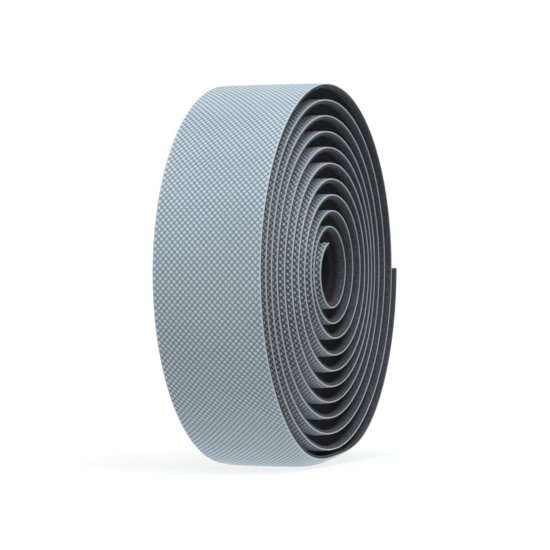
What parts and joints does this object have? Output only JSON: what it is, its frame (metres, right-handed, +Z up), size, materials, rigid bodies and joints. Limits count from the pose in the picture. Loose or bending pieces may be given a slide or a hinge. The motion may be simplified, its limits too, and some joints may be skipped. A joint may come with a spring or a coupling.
{
  "type": "handlebar tape roll",
  "caption": "Roll of padded handlebar tape standing on its rim: an embossed pale blue-grey face on black foam, wound in a loose spiral round an open centre.",
  "frame": {"origin": "middle of the bounding box in X and Y, on the ground under the rim's flat spot", "axes": "+Z up, +Y along the roll's axis away from the end that the picture shows, +X towards the loose outer end"},
  "size_m": [0.1064, 0.0316, 0.1037],
  "materials": {
    "tape": "matte pale blue-grey polyurethane face, embossed with small diamonds, on charcoal-black foam"
  },
  "bodies": {
    "root": {"tape": "tape"}
  },
  "joints": []
}
